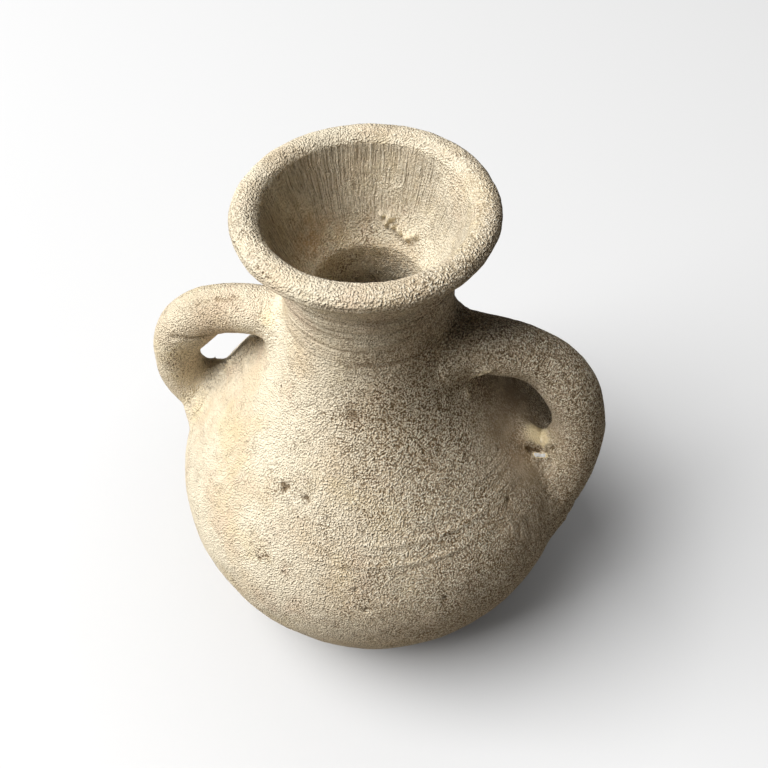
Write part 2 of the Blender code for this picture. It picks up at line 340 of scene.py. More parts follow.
def calc(tree, operation, *values):
    """Result of a Math node."""
    return add(tree, "ShaderNodeMath", dict(enumerate(values)), operation=operation).outputs[0]


def vector_calc(tree, operation, *values):
    """Vector result of a Vector Math node."""
    return add(tree, "ShaderNodeVectorMath", dict(enumerate(values)), operation=operation).outputs[0]


def scaled_vector(tree, vector, factor):
    """A vector times a number."""
    return add(tree, "ShaderNodeVectorMath", {0: vector, "Scale": factor}, operation="SCALE").outputs[0]


NOISE_MIDDLE = 0.5


def noise_of(tree, vector, size, detail, roughness=0.5):
    """Noise whose features are about the given size, as a value round zero."""
    scale = calc(tree, "DIVIDE", 1.0, size)
    inputs = {"Vector": vector, "Scale": scale, "Detail": detail, "Roughness": roughness}
    return calc(tree, "SUBTRACT", add(tree, "ShaderNodeTexNoise", inputs).outputs[0], NOISE_MIDDLE)


def round_the_axis(tree, spot, round_scale, height_scale):
    """Coordinates that stretch a pattern round the pot or up it, with no break behind."""
    parts = add(tree, "ShaderNodeSeparateXYZ", {0: spot}).outputs
    level = add(tree, "ShaderNodeCombineXYZ", {"X": parts["X"], "Y": parts["Y"]}).outputs[0]
    ring = scaled_vector(tree, vector_calc(tree, "NORMALIZE", level), round_scale)
    climb = add(tree, "ShaderNodeCombineXYZ", {"Z": calc(tree, "MULTIPLY", parts["Z"], height_scale)})
    return vector_calc(tree, "ADD", ring, climb.outputs[0])


def named(tree, name, data_type="FLOAT"):
    """A named attribute of the geometry."""
    return add(tree, "GeometryNodeInputNamedAttribute", {"Name": name}, data_type=data_type).outputs[0]


def stored(tree, geometry, name, value, data_type="FLOAT"):
    """Geometry with a value kept on its points."""
    inputs = {"Geometry": geometry, "Name": name, "Value": value}
    return add(tree, "GeometryNodeStoreNamedAttribute", inputs, data_type=data_type).outputs[0]


def sampled(tree, geometry, value, index, data_type="FLOAT"):
    """A value of another geometry at one of its points."""
    inputs = {"Geometry": geometry, "Value": value, "Index": index}
    return add(tree, "GeometryNodeSampleIndex", inputs, data_type=data_type).outputs[0]


def new_tree(name, sizes):
    """Empty modifier tree with named sizes; returns the tree and its input node."""
    tree = bpy.data.node_groups.new(name, "GeometryNodeTree")
    tree.is_modifier = True
    face = tree.interface
    face.new_socket("Geometry", in_out="INPUT", socket_type="NodeSocketGeometry")
    for label, (kind, value) in sizes.items():
        socket = face.new_socket(label, in_out="INPUT", socket_type="NodeSocket" + kind)
        if value is not None:
            socket.default_value = value
    face.new_socket("Geometry", in_out="OUTPUT", socket_type="NodeSocketGeometry")
    return tree, tree.nodes.new("NodeGroupInput").outputs


def close_tree(tree, geometry, material):
    """Ends a tree in plain geometry with its material."""
    plain = add(tree, "GeometryNodeRealizeInstances", {"Geometry": geometry}).outputs[0]
    painted = add(tree, "GeometryNodeSetMaterial", {"Geometry": plain, "Material": material}).outputs[0]
    tree.links.new(painted, tree.nodes.new("NodeGroupOutput").inputs[0])
    return tree


# Values that every point of the clay carries, and the skin below which it lies on a hidden face
PROFILE_VALUES = ("skin", "wipe", "brush", "smear", "smooth", "painted_shade", "stain", "mark", "soil_and_shade")
LEAST_SKIN = 0.5
MERGE_DISTANCE = 1e-6


def wrapped_grid(tree, count, turns):
    """Grid with a column of points for each step of a turn; returns it, and each point's row and angle."""
    columns = calc(tree, "ADD", turns, 1.0)
    inputs = {"Size X": 1.0, "Size Y": 1.0, "Vertices X": columns, "Vertices Y": count}
    grid = add(tree, "GeometryNodeMeshGrid", inputs).outputs[0]
    index = add(tree, "GeometryNodeInputIndex").outputs[0]
    turn = calc(tree, "FLOOR", calc(tree, "DIVIDE", index, count))
    angle = calc(tree, "MULTIPLY", calc(tree, "DIVIDE", turn, turns), math.tau)
    return grid, calc(tree, "MODULO", index, count), angle


def close_wrapped(tree, grid, spot, material):
    """Ends a tree with its grid moved into place and joined where its edges meet."""
    shape = add(tree, "GeometryNodeSetPosition", {"Geometry": grid, "Position": spot}).outputs[0]
    inputs = {"Geometry": shape, "Distance": MERGE_DISTANCE}
    shape = add(tree, "GeometryNodeMergeByDistance", inputs).outputs[0]
    return close_tree(tree, shape, material)


def turned_ring_tree():
    """Turns a profile, given as a row of points, into a ring round the pot's axis."""
    tree, given = new_tree(
        "turned_ring",
        {
            "Profile points": ("Int", LEAST_POINTS),
            "Segments": ("Int", RING_SEGMENTS),
            "Material": ("Material", None),
        },
    )
    profile = given["Geometry"]
    ring, place, angle = wrapped_grid(tree, given["Profile points"], given["Segments"])

    def carried(value):
        """A vector of the profile, turned to its column."""
        flat = sampled(tree, profile, value, place, "FLOAT_VECTOR")
        inputs = {"Vector": flat, "Angle": angle}
        return add(tree, "ShaderNodeVectorRotate", inputs, rotation_type="Z_AXIS").outputs[0]

    ring = stored(tree, ring, "outward", carried(named(tree, "outward", "FLOAT_VECTOR")), "FLOAT_VECTOR")
    for name in PROFILE_VALUES:
        ring = stored(tree, ring, name, sampled(tree, profile, named(tree, name), place))
    spot = carried(add(tree, "GeometryNodeInputPosition").outputs[0])
    return close_wrapped(tree, ring, spot, given["Material"])


def rolled_bar_tree():
    """Rolls an oval bar along a line, given as a row of points with a cross direction at each."""
    tree, given = new_tree(
        "rolled_bar",
        {
            "Line points": ("Int", LEAST_POINTS),
            "Sides": ("Int", BAR_SIDES),
            "Thickness": ("Float", max(HANDLE_THICKNESS.values())),
            "Width": ("Float", max(HANDLE_WIDTH.values())),
            "Material": ("Material", None),
        },
    )
    line = given["Geometry"]
    bar, place, angle = wrapped_grid(tree, given["Line points"], given["Sides"])
    centre = sampled(tree, line, add(tree, "GeometryNodeInputPosition").outputs[0], place, "FLOAT_VECTOR")
    across = sampled(tree, line, named(tree, "across", "FLOAT_VECTOR"), place, "FLOAT_VECTOR")
    cosine, sine = calc(tree, "COSINE", angle), calc(tree, "SINE", angle)
    depth_way = add(tree, "ShaderNodeCombineXYZ", {"Y": 1.0}).outputs[0]

    def oval(thickness, width):
        """Vector from the middle line to an oval of that thickness and width."""
        flat = scaled_vector(tree, across, calc(tree, "MULTIPLY", cosine, thickness))
        deep = scaled_vector(tree, depth_way, calc(tree, "MULTIPLY", sine, width))
        return vector_calc(tree, "ADD", flat, deep)

    half_thickness = calc(tree, "DIVIDE", given["Thickness"], 2.0)
    half_width = calc(tree, "DIVIDE", given["Width"], 2.0)
    outward = vector_calc(tree, "NORMALIZE", oval(half_width, half_thickness))
    bar = stored(tree, bar, "outward", outward, "FLOAT_VECTOR")
    for name in PROFILE_VALUES:
        bar = stored(tree, bar, name, 1.0 if name == "skin" else 0.0)
    spot = vector_calc(tree, "ADD", centre, oval(half_thickness, half_width))
    return close_wrapped(tree, bar, spot, given["Material"])


# Relief of the skin, in metres, and the lines that hands and brushes leave in it
SKIN_SIZES = {
    "Lump size": 0.0130,
    "Lump height": 0.00060,
    "Dimple size": 0.0042,
    "Dimple height": 0.00034,
    "Grain size": 0.0013,
    "Grain height": 0.00015,
    "Smear size": 0.0017,
    "Smear height": 0.00150,
    "Wipe height": 0.00030,
    "Brush height": 0.00026,
    "Inset": SKIN_INSET,
}
SOFT_DETAIL, FINE_DETAIL, LINE_DETAIL = 1.0, 2.0, 3.0
FINE_ROUGHNESS, WIPE_ROUGHNESS, BRUSH_ROUGHNESS = 0.6, 0.6, 0.65
WIPE_ALONG, WIPE_ACROSS = 0.70, 0.00090
BRUSH_ACROSS, BRUSH_ALONG = 54.0, 0.0060
BRUSH_SWAY, BRUSH_SWAY_SIZE = 3.0, 0.0045


def wipe_lines(tree, spot):
    """Lines left round the pot by a wet hand."""
    lines = round_the_axis(tree, spot, WIPE_ALONG, 1 / WIPE_ACROSS)
    return noise_of(tree, lines, 1.0, LINE_DETAIL, WIPE_ROUGHNESS)


def brush_lines(tree, spot):
    """Swaying upright lines left by a brush."""
    sway = calc(tree, "MULTIPLY", noise_of(tree, spot, BRUSH_SWAY_SIZE, SOFT_DETAIL), BRUSH_SWAY)
    lines = vector_calc(tree, "ADD", round_the_axis(tree, spot, BRUSH_ACROSS, 1 / BRUSH_ALONG), sway)
    return noise_of(tree, lines, 1.0, LINE_DETAIL, BRUSH_ROUGHNESS)


def sandy_skin_tree():
    """Gives clay its lumps, dimples, grains, wiped rings and brushed streaks, along its normals."""
    sizes = {label: ("Float", value) for label, value in SKIN_SIZES.items()}
    tree, given = new_tree("sandy_skin", sizes | {"Material": ("Material", None)})
    spot = add(tree, "GeometryNodeInputPosition").outputs[0]

    def relief(label, *texture):
        """Noise of one kind of relief, and its height."""
        return noise_of(tree, spot, given[f"{label} size"], *texture), given[f"{label} height"]

    patterns = (
        (*relief("Lump", SOFT_DETAIL), None),
        (*relief("Dimple", FINE_DETAIL), None),
        (*relief("Grain", FINE_DETAIL, FINE_ROUGHNESS), None),
        (*relief("Smear", FINE_DETAIL, FINE_ROUGHNESS), "smear"),
        (wipe_lines(tree, spot), given["Wipe height"], "wipe"),
        (brush_lines(tree, spot), given["Brush height"], "brush"),
    )
    height = calc(tree, "SUBTRACT", named(tree, "mark"), given["Inset"])
    for pattern, rise, share in patterns:
        raised = calc(tree, "MULTIPLY", pattern, rise)
        if share:
            raised = calc(tree, "MULTIPLY", raised, named(tree, share))
        height = calc(tree, "ADD", height, raised)
    height = calc(tree, "MULTIPLY", height, named(tree, "skin"))
    offset = scaled_vector(tree, named(tree, "outward", "FLOAT_VECTOR"), height)
    clay = add(tree, "GeometryNodeSetPosition", {"Geometry": given["Geometry"], "Offset": offset}).outputs[0]
    clay = add(tree, "GeometryNodeSetShadeSmooth", {"Geometry": clay}).outputs[0]
    return close_tree(tree, clay, given["Material"])


TURNED_RING = turned_ring_tree()
ROLLED_BAR = rolled_bar_tree()
SANDY_SKIN = sandy_skin_tree()


def run_tree(thing, tree, sizes):
    """Runs a tree on an object and keeps the result as its plain mesh."""
    modifier = thing.modifiers.new(tree.name, "NODES")
    modifier.node_group = tree
    for item in tree.interface.items_tree:
        if item.in_out == "INPUT" and item.name in sizes:
            modifier[item.identifier] = sizes[item.name]
    graph = bpy.context.evaluated_depsgraph_get()
    graph.update()
    mesh = bpy.data.meshes.new_from_object(
        thing.evaluated_get(graph), preserve_all_data_layers=True, depsgraph=graph
    )
    old = thing.data
    thing.modifiers.clear()
    thing.data = mesh
    bpy.data.meshes.remove(old)
    mesh.name = thing.name
    return thing


def new_object(name, content):
    """Object in the scene that holds a mesh, a lamp or a lens."""
    thing = bpy.data.objects.new(name, content)
    bpy.context.scene.collection.objects.link(thing)
    return thing


def row_of_points(name, places, vectors, values):
    """Object holding a row of points, with a named vector and named values at each."""
    mesh = bpy.data.meshes.new(name)
    mesh.from_pydata([tuple(p) for p in places], [(i, i + 1) for i in range(len(places) - 1)], [])
    for label, rows in vectors.items():
        keep_vectors(mesh, label, rows)
    for label, rows in values.items():
        keep_values(mesh, label, rows)
    return new_object(name, mesh)


def read_rows(items, label, width=1, kind=float):
    """One property of a mesh's points, corners, faces or attributes, as an array."""
    rows = np.empty(len(items) * width, kind)
    items.foreach_get(label, rows)
    return rows if width == 1 else rows.reshape(-1, width)


def mesh_points(mesh):
    """Places of a mesh's points."""
    return read_rows(mesh.vertices, "co", 3)


def mesh_vectors(mesh, name):
    """A named vector of a mesh's points."""
    return read_rows(mesh.attributes[name].data, "vector", 3)


def mesh_values(mesh, name):
    """A named value of a mesh's points."""
    return read_rows(mesh.attributes[name].data, "value")


def place_points(mesh, places):
    """Moves a mesh's points."""
    mesh.vertices.foreach_set("co", np.ravel(places))
    mesh.update()


def keep_vectors(mesh, name, rows):
    """Keeps a named vector on a mesh's points."""
    held = mesh.attributes.get(name) or mesh.attributes.new(name, "FLOAT_VECTOR", "POINT")
    held.data.foreach_set("vector", np.ravel(rows))


def keep_values(mesh, name, rows):
    """Keeps a named value on a mesh's points."""
    held = mesh.attributes.get(name) or mesh.attributes.new(name, "FLOAT", "POINT")
    held.data.foreach_set("value", np.ravel(rows))


def closed_outwards(mesh):
    """Fills a mesh's open ends, turns its faces outwards and keeps its hidden faces apart by sharp edges."""
    shape = bmesh.new()
    shape.from_mesh(mesh)
    edges = [edge for edge in shape.edges if edge.is_boundary]
    hidden = set(bmesh.ops.holes_fill(shape, edges=edges, sides=0)["faces"]) if edges else set()
    bmesh.ops.recalc_face_normals(shape, faces=shape.faces)
    skin = shape.verts.layers.float["skin"]
    hidden |= {face for face in shape.faces if any(point[skin] < LEAST_SKIN for point in face.verts)}
    for face in shape.faces:
        face.smooth = True
    for edge in shape.edges:
        edge.smooth = len({face in hidden for face in edge.link_faces}) == 1
    shape.to_mesh(mesh)
    shape.free()


class Run:
    """Stretch of a profile: points, normals, and how its clay was worked."""

    def __init__(self, line, step, skin=1.0, wipe=0.0, brush=0.0, smear=0.0, ends=None):
        along = lengths_along(line)
        start, stop = (0.0, along[-1]) if ends is None else ends
        count = max(LEAST_POINTS, math.ceil((stop - start) / step) + 1)
        self.points, direction = at_lengths(line, np.linspace(start, stop, count))
        self.normals = np.stack([direction[:, 1], -direction[:, 0]], axis=-1)
        self.worked = {"skin": skin, "wipe": wipe, "brush": brush, "smear": smear}

    def values(self, name):
        """The run's share of one way of working, at each of its points."""
        share = self.worked.get(name, 0.0)
        if callable(share):
            return np.array([share(height) for height in self.points[:, 1]])
        return np.full(len(self.points), share)


def between(line, low, high, step, **worked):
    """Run of a line that climbs or falls, cut at two heights."""
    along = lengths_along(line)
    if line[0, 1] < line[-1, 1]:
        ends = np.interp([low, high], line[:, 1], along)
    else:
        ends = np.interp([-high, -low], -line[:, 1], along)
    return Run(line, step, ends=tuple(ends), **worked)


def across(start, stop, step=SEAM_STEP):
    """Run over a hidden seam face, which the skin leaves alone."""
    return Run(np.array([start, stop]), step, skin=0.0)


INSIDE_HEIGHTS = np.linspace(THROAT_SEAM, FLOOR, CURVE_SAMPLES)
INSIDE = np.stack([inner_radius(INSIDE_HEIGHTS), INSIDE_HEIGHTS], axis=-1)
FUNNEL_EDGE_HEIGHT = roll_point(ROLL_INNER_EDGE)[1]
FUNNEL_HEIGHTS = np.linspace(FUNNEL_EDGE_HEIGHT, THROAT_SEAM, CURVE_SAMPLES)
FUNNEL = np.stack([funnel_radius(FUNNEL_HEIGHTS), FUNNEL_HEIGHTS], axis=-1)
THROAT_SOFTNESS = 0.0014
SOFT_STEP = 0.0001


def softened(line, reach):
    """A line with its corners worn round over the given reach."""
    length = lengths_along(line)[-1]
    points, _ = at_lengths(line, np.linspace(0.0, length, math.ceil(length / SOFT_STEP)))
    half = round(reach / SOFT_STEP)
    window = np.hanning(2 * half + 3)[1:-1]
    padded = np.pad(points, ((half, half), (0, 0)), mode="reflect", reflect_type="odd")
    return np.stack([np.convolve(column, window / window.sum(), "valid") for column in padded.T], axis=-1)


INNER = softened(np.vstack([FUNNEL, INSIDE[1:]]), THROAT_SOFTNESS)


def lip_line():
    """The rim from the collar's top outside, round the roll, to where the funnel begins."""
    angles = np.linspace(ROLL_UNDERSIDE, ROLL_INNER_EDGE, CURVE_SAMPLES)
    roll = np.array([roll_point(angle) for angle in angles])
    return np.vstack([OUTSIDE[-1:], roll])


def turned_piece(name, runs):
    """Ring turned from runs that follow one another round its section."""
    points = np.vstack([run.points for run in runs])
    normals = np.vstack([run.normals for run in runs])
    values = {key: np.concatenate([run.values(key) for run in runs]) for key in PROFILE_VALUES}
    keep = np.ones(len(points), bool)
    for row, after in enumerate(np.roll(np.arange(len(points)), -1)):
        if np.linalg.norm(points[after] - points[row]) < MERGE_DISTANCE:
            keep[after if values["skin"][row] >= values["skin"][after] else row] = False
    points, normals = points[keep], normals[keep]
    values = {key: rows[keep] for key, rows in values.items()}
    if points[0, 0] > 0:
        points, normals = np.vstack([points, points[:1]]), np.vstack([normals, normals[:1]])
        values = {key: np.append(rows, rows[0]) for key, rows in values.items()}
    flat = np.zeros(len(points))
    places = np.stack([points[:, 0], flat, points[:, 1]], axis=-1)
    outward = np.stack([normals[:, 0], flat, normals[:, 1]], axis=-1)
    thing = row_of_points(name, places, {"outward": outward}, values)
    return run_tree(thing, TURNED_RING, {"Profile points": len(points), "Segments": RING_SEGMENTS})


def draw_up_rows(mesh, rows_by_side):
    """Draws rows of a mesh's points up into the root fillets of each side's handle."""
    places, outward, smear = mesh_points(mesh), mesh_vectors(mesh, "outward"), mesh_values(mesh, "smear")
    for side, rows in rows_by_side.items():
        if len(rows):
            places[rows], outward[rows], smear[rows] = draw_up(places[rows], outward[rows], side)
    place_points(mesh, places)
    keep_vectors(mesh, "outward", outward)
    keep_values(mesh, "smear", smear)


def swell_roots(thing):
    """Draws a ring's outer wall up into the fillets of the handle roots that stand on it."""
    places, shown = mesh_points(thing.data), mesh_values(thing.data, "skin") > 0
    on_wall = np.abs(wall_distance(places)) < SHOWN_STEP
    found = {}
    for side, sign in SIDES.items():
        reach = ROOT_FILLET[side] * ROOT_NEARNESS
        near = shown & on_wall & (sign * places[:, 0] > 0)
        near &= np.abs(places[:, 1]) < HANDLE_WIDTH[side] / 2 + reach
        rows = np.flatnonzero(near)
        found[side] = rows[handle_distance(places[rows], side) < reach]
    draw_up_rows(thing.data, found)


def handle_lengths(side):
    """Lengths along a handle's line at which its wads end, past where both its sides leave the wall."""
    line = HANDLE_LINES[side]
    along = lengths_along(line)
    middle, direction = at_lengths(line, along)
    half = HANDLE_THICKNESS[side] / 2 * np.stack([direction[:, 1], -direction[:, 0]], axis=-1)
    edges = (middle - half, middle + half)
    clear = np.all([edge[:, 0] > outer_radius(edge[:, 1]) for edge in edges], axis=0)
    return along[clear][0] + WAD_REACH, along[clear][-1] - WAD_REACH


def rolled_handle(name, side):
    """The free stretch of a handle, between its two wads."""
    start, stop = handle_lengths(side)
    count = math.ceil((stop - start) / SHOWN_STEP)
    points, directions = at_lengths(HANDLE_LINES[side], np.linspace(start, stop, count))
    sign = SIDES[side]
    flat = np.zeros(count)
    places = np.stack([sign * points[:, 0], flat, points[:, 1]], axis=-1)
    cross = np.stack([sign * directions[:, 1], flat, -directions[:, 0]], axis=-1)
    sizes = {"Line points": count, "Sides": BAR_SIDES}
    sizes |= {"Thickness": HANDLE_THICKNESS[side], "Width": HANDLE_WIDTH[side]}
    return run_tree(row_of_points(name, places, {"across": cross}, {}), ROLLED_BAR, sizes)


def bar_surface(side, lengths, angles):
    """Places and normals on a handle's oval bar, at lengths along it and angles round it."""
    points, directions = at_lengths(HANDLE_LINES[side], lengths)
    cross = np.stack([directions[..., 1], -directions[..., 0]], axis=-1)
    half_thickness, half_width = HANDLE_THICKNESS[side] / 2, HANDLE_WIDTH[side] / 2
    flat = points + cross * (half_thickness * np.cos(angles))[..., None]
    slant = cross * (half_width * np.cos(angles))[..., None]
    sign = SIDES[side]
    places = np.stack([sign * flat[..., 0], half_width * np.sin(angles), flat[..., 1]], axis=-1)
    outward = np.stack([sign * slant[..., 0], half_thickness * np.sin(angles), slant[..., 1]], axis=-1)
    return places, outward / np.linalg.norm(outward, axis=-1, keepdims=True)


def luting_wad(name, side, upper):
    """Clay round one handle root, from under the wall's skin to the end of the smear."""
    ends = handle_lengths(side)
    far_end = ends[0] if upper else ends[1]
    wall_end = 0.0 if upper else lengths_along(HANDLE_LINES[side])[-1]
    angles = np.linspace(0.0, math.tau, BAR_SIDES, endpoint=False)
    trial = np.linspace(far_end, wall_end, CURVE_SAMPLES)
    grid_lengths, grid_angles = np.meshgrid(trial, angles, indexing="ij")
    places, _ = bar_surface(side, grid_lengths, grid_angles)
    sunk = wall_distance(places.reshape(-1, 3)).reshape(grid_lengths.shape) < -ROOT_SINK
    sunk[-1] = True
    cope = trial[np.argmax(sunk, axis=0)]
    rows = math.ceil(np.abs(cope - far_end).max() / SHOWN_STEP)
    shares = np.linspace(0.0, 1.0, rows)[:, None]
    lengths = far_end + (cope - far_end)[None] * shares
    places, outward = bar_surface(side, lengths, np.broadcast_to(angles, lengths.shape))
    places, outward = places.reshape(-1, 3), outward.reshape(-1, 3)
    places, outward, smear = draw_up(places, outward, side)
    faces = []
    for row in range(rows - 1):
        near, far = row * BAR_SIDES, (row + 1) * BAR_SIDES
        for i in range(BAR_SIDES):
            j = (i + 1) % BAR_SIDES
            faces.append((near + i, near + j, far + j, far + i))
    mesh = bpy.data.meshes.new(name)
    mesh.from_pydata(places.tolist(), [], faces)
    keep_vectors(mesh, "outward", outward)
    for label in PROFILE_VALUES:
        keep_values(mesh, label, np.full(len(places), 1.0 if label == "skin" else 0.0))
    keep_values(mesh, "smear", smear)
    return new_object(name, mesh)


def reach_handle_roots(thing, side):
    """Draws a handle's ends up into the fillets that its wads continue."""
    near = wall_distance(mesh_points(thing.data)) < ROOT_FILLET[side] * ROOT_NEARNESS
    draw_up_rows(thing.data, {side: np.flatnonzero(near)})


# Marks left by the potter, as places (degrees round the axis and height, or x, y and z)
THROWN_RIDGES = (
    {"height": 0.0482, "turn": (-80, -34), "rise": 0.00022},
    {"height": 0.0452, "turn": (-104, -42), "rise": 0.00024},
    {"height": 0.0435, "turn": (-154, -132), "rise": 0.00018},
)
RIDGE_WIDTH = 0.00042
RIDGE_FADE = 9.0
GROOVE_SHARE, GROOVE_OFFSET = 0.3, 1.7
BELLY_PITS = (
    (-111.6, 0.0536),
    (-110.2, 0.0531),
    (-109.4, 0.0537),
    (-101.6, 0.0532),
    (-100.4, 0.0534),
    (-99.6, 0.0529),
    (-110.6, 0.0413),
    (-80.8, 0.0412),
    (-77.8, 0.0371),
    (-55.9, 0.0371),
    (-26.5, 0.0469),
)
PIT_WIDTH, PIT_DEPTH = 0.00042, 0.00065
RIM_PINHOLES = (
    (-0.01214, -0.01750, 0.0992),
    (-0.01110, -0.01828, 0.0992),
    (-0.01028, -0.01890, 0.0990),
    (-0.00959, -0.01906, 0.0992),
)
PINHOLE_WIDTH, PINHOLE_DEPTH = 0.00034, 0.00050
# Creases, with the depth of each and the painted shade that darkens it
CREASES = (
    {
        "line": (
            (-0.0380, -0.0049, 0.0633),
            (-0.0362, -0.0051, 0.0640),
            (-0.0332, -0.0045, 0.0638),
            (-0.0307, -0.0039, 0.0647),
        ),
        "depth": 0.00032,
        "soil_and_shade": 0.4,
    },
    {
        "line": ((-0.0279, -0.0019, 0.0735), (-0.0263, -0.0020, 0.0737), (-0.0238, -0.0013, 0.0743)),
        "depth": 0.00050,
        "soil_and_shade": 0.4,
    },
    {
        "line": ((-0.0338, -0.0030, 0.0705), (-0.0322, -0.0025, 0.0717), (-0.0284, -0.0022, 0.0731)),
        "depth": 0.00030,
        "soil_and_shade": 0.3,
    },
    {
        "line": (
            (0.0306, -0.0041, 0.0493),
            (0.0321, -0.0037, 0.0483),
            (0.0337, -0.0030, 0.0477),
            (0.0356, -0.0035, 0.0499),
        ),
        "depth": 0.00090,
        "soil_and_shade": 1.2,
    },
)
CREASE_WIDTH = 0.00055
# The tears' pale share lightens their raised crumbs: partly paler torn clay, partly painted light on their
# tops
TEARS = (
    {
        "line": (
            (-0.0005, 0.0125, 0.0863),
            (0.0011, 0.0123, 0.0860),
            (0.0003, 0.0119, 0.0851),
            (0.0022, 0.0116, 0.0848),
            (0.0043, 0.0102, 0.0837),
            (0.0058, 0.0103, 0.0848),
        ),
        "rise": 0.00120,
        "pale": 0.45,
    },
    {
        "line": (
            (-0.0334, -0.0015, 0.0476),
            (-0.0300, -0.0017, 0.0506),
            (-0.0269, -0.0014, 0.0542),
            (-0.0248, 0.0007, 0.0566),
            (-0.0234, 0.0018, 0.0583),
        ),
        "rise": 0.00090,
        "pale": 0.20,
    },
    {
        "line": (
            (0.0193, -0.0056, 0.0629),
            (0.0187, -0.0047, 0.0649),
            (0.0192, -0.0042, 0.0669),
            (0.0211, -0.0055, 0.0700),
            (0.0228, -0.0058, 0.0714),
        ),
        "rise": 0.00060,
        "pale": 0.65,
    },
)
TEAR_WIDTH = 0.00065
TEAR_WAVES = 1250.0
STROKE_REACH = 3
CREASE_SHADE_SHARE = 1.5
# Each lump's pale share lightens it; on the web in the right crook, where the lamp barely reaches, that is
# partly paler clay and partly painted light
LUMPS = (
    {"place": (0.0306, -0.0014, 0.0500), "width": 0.0024, "rise": 0.0018, "pale": 0.8},
    {"place": (0.0332, -0.0007, 0.0482), "width": 0.0022, "rise": 0.0019, "pale": 0.9},
    {"place": (0.0347, -0.0019, 0.0498), "width": 0.0018, "rise": 0.0011, "pale": 0.9},
    {"place": (0.0297, -0.0052, 0.0685), "width": 0.0044, "rise": -0.0014, "pale": 0.0},
    {"place": (-0.0345, 0.0026, 0.0470), "width": 0.0024, "rise": 0.0026, "pale": 0.1},
    {"place": (-0.0325, 0.0000, 0.0635), "width": 0.0034, "rise": 0.0012, "pale": 0.0},
    {"place": (-0.0338, 0.0000, 0.0590), "width": 0.0042, "rise": 0.0012, "pale": 0.0},
    {"place": (-0.0266, 0.0030, 0.0550), "width": 0.0062, "rise": 0.0017, "pale": 0.0},
    {"place": (-0.0314, 0.0014, 0.0491), "width": 0.0015, "rise": 0.0010, "pale": 0.3},
    {"place": (-0.0274, -0.0021, 0.0536), "width": 0.0014, "rise": 0.0009, "pale": 0.3},
    {"place": (-0.0241, -0.0025, 0.0574), "width": 0.0013, "rise": 0.0008, "pale": 0.2},
    {"place": (-0.0177, -0.0043, 0.0728), "width": 0.0027, "rise": 0.0003, "pale": 0.6},
)
SOIL_AND_SHADE_PATCHES = (
    # Painted shade on the neck's front, under the overhang of the rim
    {"place": (-0.0010, -0.0175, 0.0670), "width": 0.0110, "share": 0.22},
    {"place": (0.0093, -0.0158, 0.0661), "width": 0.0120, "share": 0.26},
    {"place": (0.0150, -0.0110, 0.0670), "width": 0.0110, "share": 0.22},
    # Darker clay round the left handle
    {"place": (-0.0300, -0.0030, 0.0660), "width": 0.0085, "share": 0.42},
    {"place": (-0.0370, -0.0030, 0.0560), "width": 0.0075, "share": 0.42},
    # Painted shade on the shoulder inside the left handle's arch
    {"place": (-0.0255, 0.0030, 0.0560), "width": 0.0050, "share": 0.45},
    # Darker patch at the left of the rim
    {"place": (-0.0172, -0.0085, 0.1000), "width": 0.0090, "share": 0.60},
    # Small dark specks on the belly and neck
    {"place": (-0.0104, -0.0259, 0.0530), "width": 0.0019, "share": 0.55},
    {"place": (-0.0121, -0.0343, 0.0424), "width": 0.0020, "share": 0.55},
    {"place": (0.0079, -0.0374, 0.0387), "width": 0.0018, "share": 0.50},
    {"place": (0.0013, -0.0177, 0.0673), "width": 0.0015, "share": 0.50},
    {"place": (0.0293, -0.0146, 0.0474), "width": 0.0015, "share": 0.50},
)
SMOOTHED = (
    {"place": (0.0262, -0.0040, 0.0546), "width": 0.0075, "share": 0.95},
    {"place": (0.0265, 0.0035, 0.0540), "width": 0.0080, "share": 0.95},
    {"place": (0.0300, -0.0075, 0.0490), "width": 0.0050, "share": 0.85},
    {"place": (0.0325, -0.0078, 0.0466), "width": 0.0040, "share": 0.75},
)
WIPED = (
    {"place": (0.0257, -0.0144, 0.0514), "width": 0.0050, "share": 0.8},
    {"place": (0.0289, -0.0154, 0.0474), "width": 0.0050, "share": 0.8},
)
DRAGGED = (
    {"place": (0.0335, -0.0130, 0.0400), "width": 0.0075, "share": 0.9},
    {"place": (0.0150, -0.0315, 0.0360), "width": 0.0060, "share": 0.3},
)
STAINED = (
    {"place": (-0.0114, 0.0041, 0.0856), "width": 0.0044, "share": 0.8},
    {"place": (-0.0092, 0.0075, 0.0855), "width": 0.0036, "share": 0.6},
    {"place": (0.0290, -0.0060, 0.0505), "width": 0.0040, "share": 0.35},
    {"place": (-0.0330, -0.0110, 0.0470), "width": 0.0060, "share": 0.25},
)
CHIP = ((0.0327, -0.0041, 0.0476), (0.0342, -0.0038, 0.0474))
CHIP_WIDTH, CHIP_RISE, CHIP_PALE, CHIP_FLATNESS = 0.00050, 0.00030, 2.6, 4

# How brushing fades across the pot and breaks up, and how far the clay takes painted shade towards the shaded
# side, away from the lamp
BRUSH_FADE, BRUSH_MIDDLE, BRUSH_LEAST, BRUSH_TRACE = 0.040, 0.85, 0.45, 0.02
BREAK_WAVES, BREAK_MIDDLE, BREAK_LEAST = 170.0, 0.9, 0.2
PAINTED_SHADE_REACH = 0.036
PAINTED_SHADE_BY_PLACE = 0.62
PAINTED_SHADE_FACING = (-0.60, 0.90)


def from_place(points, place):
    """Distances of points from a place."""
    return np.linalg.norm(points - np.array(place), axis=1)


def from_stroke(points, start, stop):
    """Distances of points from a straight stroke."""
    start, run = np.array(start), np.array(stop) - np.array(start)
    share = np.clip((points - start) @ run / (run @ run), 0.0, 1.0)
    return np.linalg.norm(points - start - share[:, None] * run, axis=1)


def bell(distance, width, power=2):
    """Bump of height 1 that fades out over about the given width, with a flatter top at a higher power."""
    return np.exp(-((distance / width) ** power))


